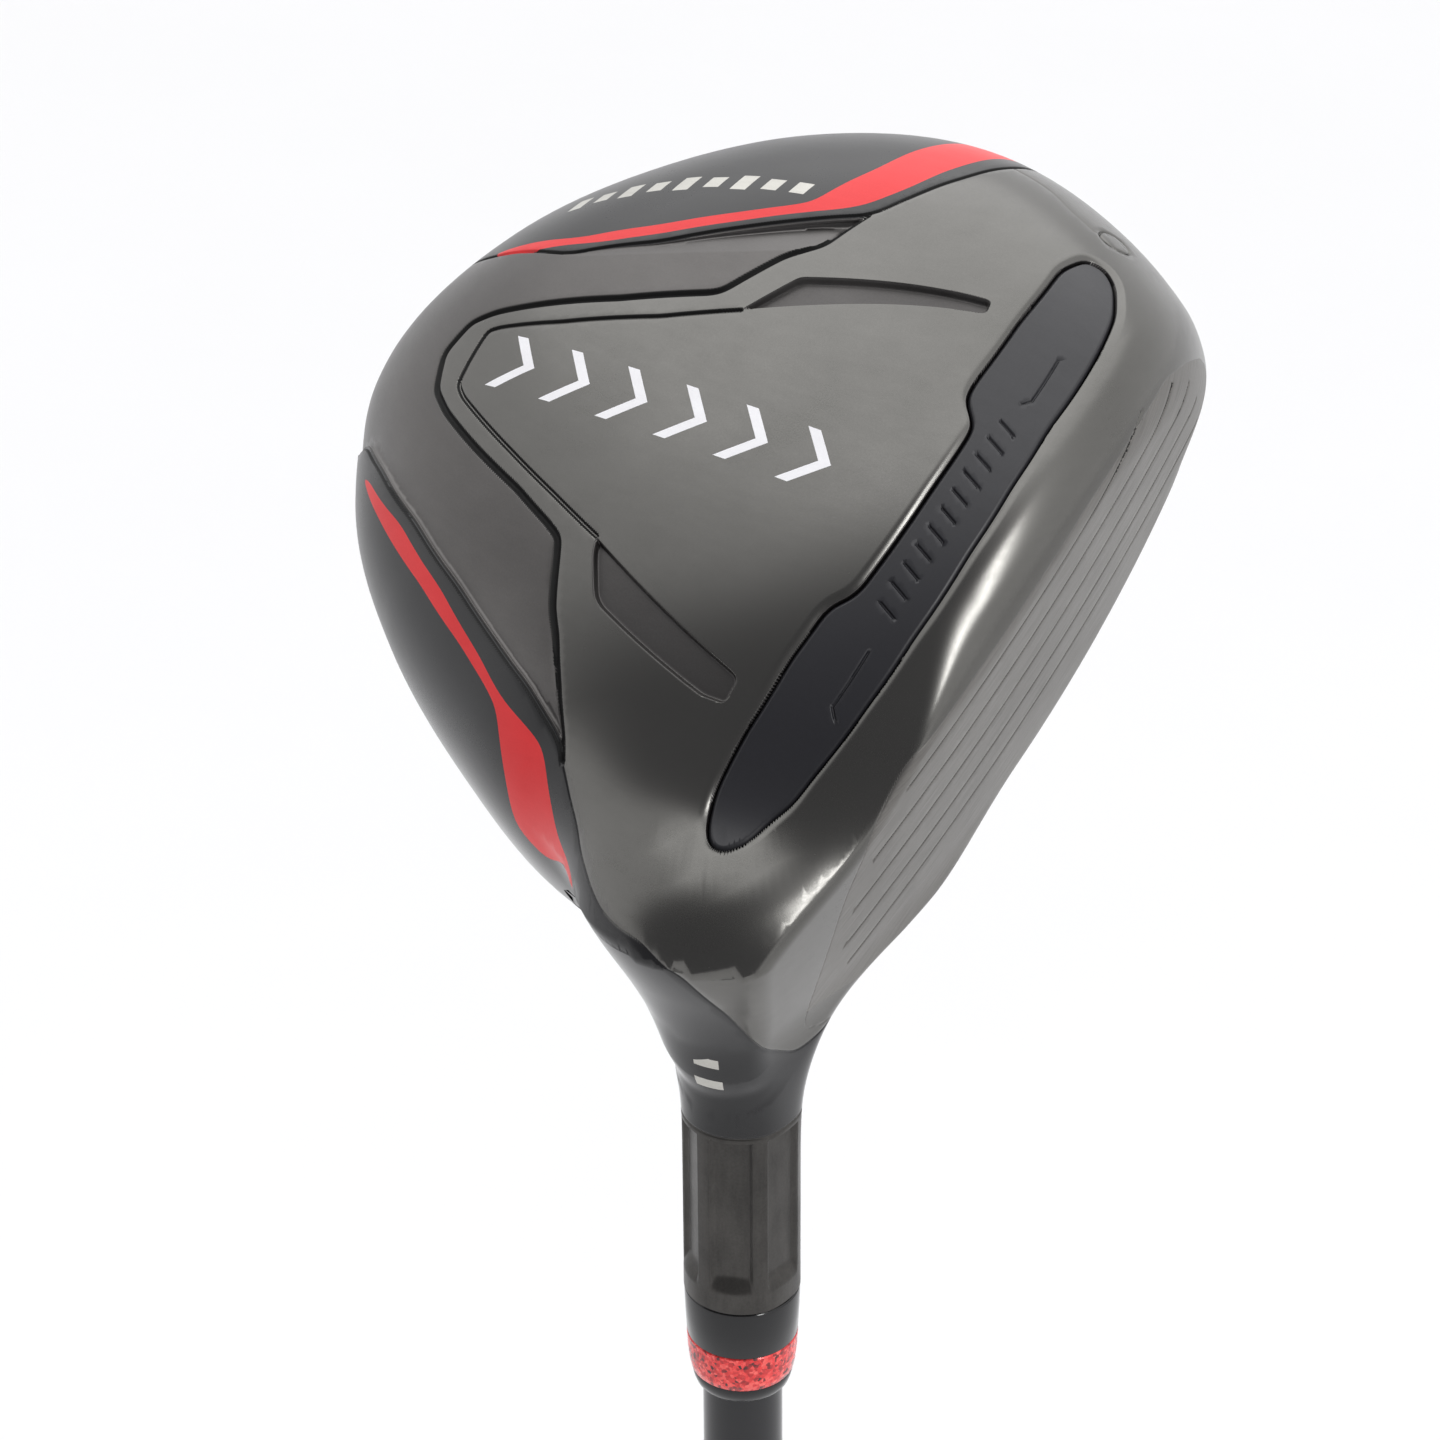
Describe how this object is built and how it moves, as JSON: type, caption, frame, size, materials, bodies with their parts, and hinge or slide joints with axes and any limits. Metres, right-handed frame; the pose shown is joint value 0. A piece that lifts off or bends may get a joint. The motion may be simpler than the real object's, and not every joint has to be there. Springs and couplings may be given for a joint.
{
  "type": "golf club fairway wood",
  "caption": "Fairway wood golf club with a low rounded steel head, slotted sole, fluted hosel, ringed ferrule, tapered shaft and rubber grip.",
  "frame": {"origin": "centre of the butt end of the grip, on the shaft axis", "axes": "+Z along the shaft axis from the butt to the head, +X the way the face looks, -Y the side the sole looks to"},
  "size_m": [0.0932, 0.1011, 1.1291],
  "materials": {
    "head_steel": "satin dark plated steel",
    "crown_carbon": "lacquered carbon weave",
    "bond_epoxy": "cured adhesive",
    "face_steel": "brushed steel",
    "filler_rubber": "satin moulded rubber",
    "black_plastic": "gloss black",
    "red_paint": "satin red paint",
    "red_glitter": "red flake under clear",
    "white_paint": "white paint",
    "shaft_black": "gloss black coated carbon fibre",
    "tape": "paper-backed adhesive tape",
    "grip_rubber": "textured rubber"
  },
  "bodies": {
    "root": {"head_body": "head_steel", "crown_panel": "crown_carbon", "crown_bond": "bond_epoxy", "face_plate": "face_steel", "slot_filler": "filler_rubber", "toe_port_plug": "black_plastic", "toe_stripe": "red_paint", "heel_stripe": "red_paint", "sole_chevrons": "white_paint", "ferrule_collar": "black_plastic", "ferrule_ring": "red_glitter", "ferrule_cap": "black_plastic", "shaft": "shaft_black", "shaft_bond": "bond_epoxy", "shaft_band": "white_paint", "grip_tape": "tape", "grip_sleeve": "grip_rubber", "grip_cap": "grip_rubber"}
  },
  "joints": []
}
